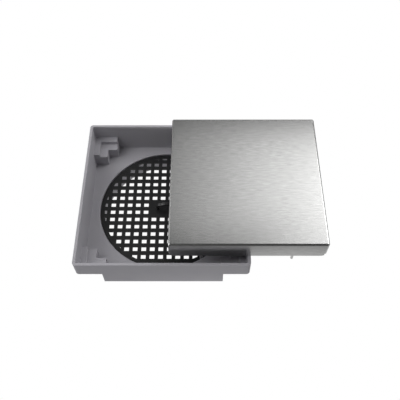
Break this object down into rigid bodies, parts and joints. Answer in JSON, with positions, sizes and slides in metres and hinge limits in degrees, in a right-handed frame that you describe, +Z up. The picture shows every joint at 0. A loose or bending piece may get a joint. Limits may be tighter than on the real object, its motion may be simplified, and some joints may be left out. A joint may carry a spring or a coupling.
{
  "type": "floor drain grate",
  "caption": "Square floor drain: plastic tray with a round outlet, lift-out strainer disc and a lift-off plain steel cover resting to one side.",
  "frame": {"origin": "bottom centre of the whole drain's bounding box, at the level of the outlet collar's end", "axes": "+X towards the side that the cover hangs over, +Z up"},
  "size_m": [0.213, 0.15, 0.0708],
  "materials": {
    "tray_plastic": "fine moulded satin, mid grey",
    "strainer_plastic": "satin black, moulded",
    "handle_plastic": "glossy black, moulded",
    "cover_steel": "straight brushed stainless steel, grain along X",
    "insert_plastic": "grey moulded plastic",
    "foot_steel": "drawn stainless wire"
  },
  "bodies": {
    "tray": {"tray_body": "tray_plastic"},
    "strainer": {"strainer_plate": "strainer_plastic", "strainer_handle": "handle_plastic"},
    "cover": {"cover_skin": "cover_steel", "cover_insert": "insert_plastic", "cover_foot_front_left": "foot_steel", "cover_foot_front_right": "foot_steel", "cover_foot_back_left": "foot_steel", "cover_foot_back_right": "foot_steel", "cover_foot_left_front": "foot_steel", "cover_foot_left_back": "foot_steel", "cover_foot_right_front": "foot_steel", "cover_foot_right_back": "foot_steel"}
  },
  "joints": [
    {"name": "cover_lift", "type": "slide", "parent": "tray", "child": "cover", "axis": [0, 0, 1], "range_m": [0, 0.06]},
    {"name": "strainer_lift", "type": "slide", "parent": "tray", "child": "strainer", "axis": [0, 0, 1], "range_m": [0, 0.018]}
  ]
}
